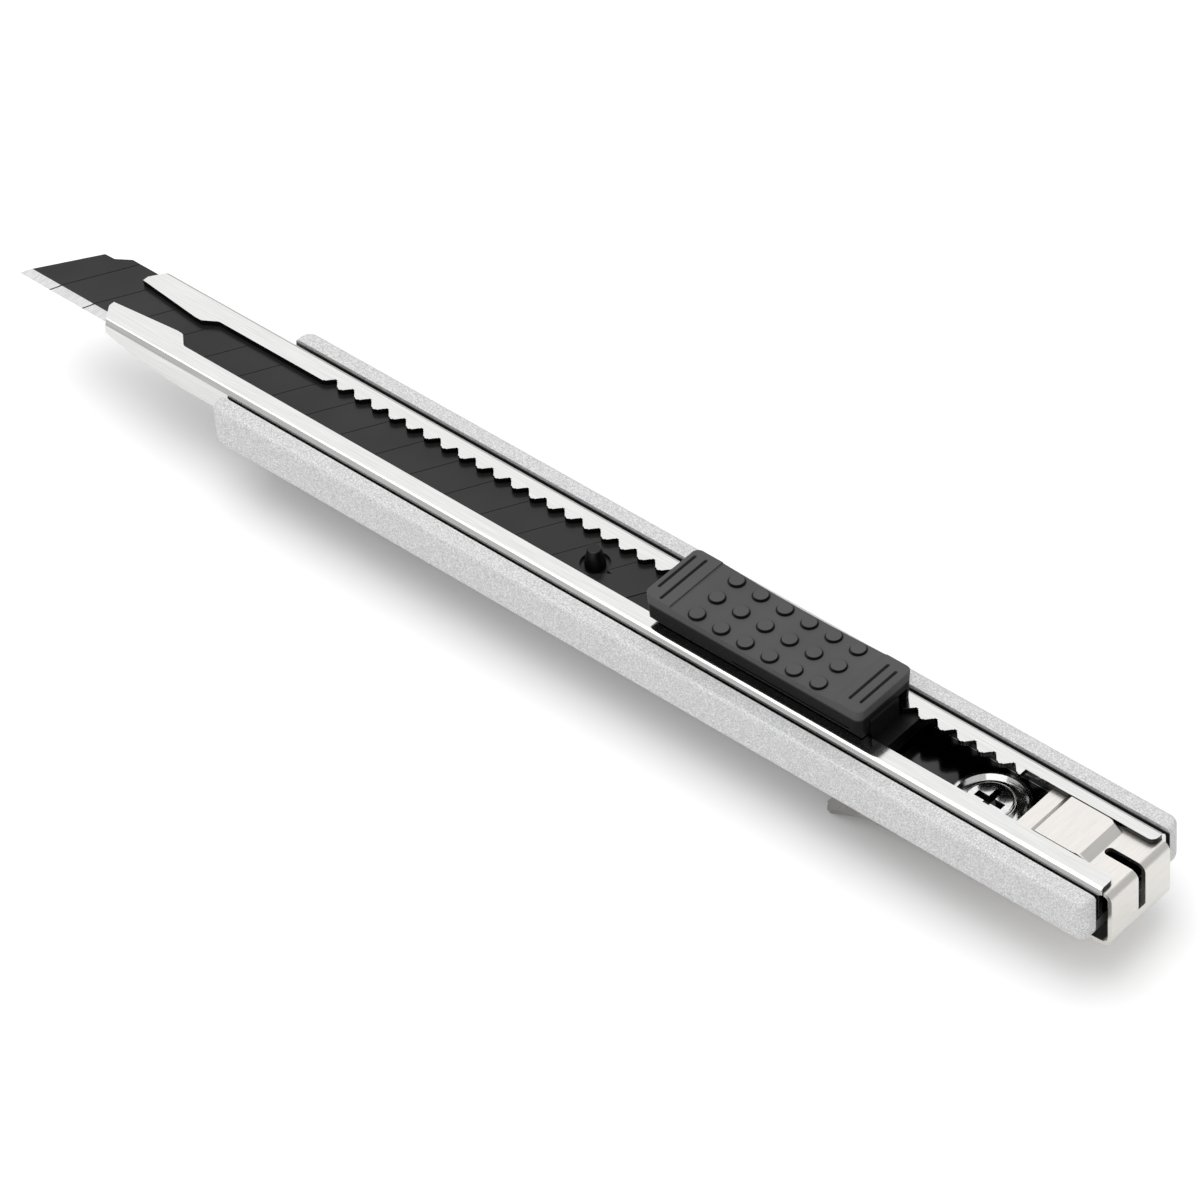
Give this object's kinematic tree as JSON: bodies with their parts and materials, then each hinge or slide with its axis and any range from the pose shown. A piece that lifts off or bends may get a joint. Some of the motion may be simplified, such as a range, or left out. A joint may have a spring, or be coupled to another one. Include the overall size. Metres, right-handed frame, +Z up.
{
  "type": "utility knife",
  "caption": "Slim snap-off utility knife: cast case, toothed steel channel, sliding blade with thumb grip, and a spring clip at the back end.",
  "frame": {"origin": "middle of the whole knife in X and Y, at its underside (the toe of the pocket clip)", "axes": "+X along the knife towards its back end, blade tip towards -X, +Y away from the cutting edge, +Z up through the thumb grip"},
  "size_m": [0.1512, 0.0156, 0.0167],
  "materials": {
    "case_silver": "fine sand texture",
    "stainless": "satin",
    "screw_chrome": "bright",
    "blade_black": "black oxide, bright ground edge",
    "dark_steel": "blackened",
    "black_plastic": "matte",
    "grip_black": "matte, fine grain",
    "spring_steel": "satin",
    "clip_steel": "satin"
  },
  "bodies": {
    "body": {"outer_case": "case_silver", "channel_frame": "stainless", "rear_screw": "screw_chrome", "front_screw": "screw_chrome"},
    "slider": {"blade": "blade_black", "blade_carrier": "dark_steel", "blade_stud": "dark_steel", "slider_base": "black_plastic", "slider_rivets": "dark_steel", "thumb_grip": "grip_black", "detent_pin": "spring_steel"},
    "detent": {"detent_spring": "spring_steel"},
    "clip": {"end_clip": "clip_steel"}
  },
  "joints": [
    {"name": "slider_travel", "type": "slide", "parent": "body", "child": "slider", "axis": [1, 0, 0], "range_m": [-0.06, 0.015]},
    {"name": "detent_click", "type": "hinge", "parent": "slider", "child": "detent", "pos_m": [0.0408, 0.0011, 0.0125], "axis": [0, 0, 1], "range_deg": [0, 4.5], "stiffness_Nm_per_rad": 0.08, "springref_deg": -1.15},
    {"name": "clip_pull", "type": "slide", "parent": "body", "child": "clip", "axis": [1, 0, 0], "range_m": [0, 0.015]}
  ]
}
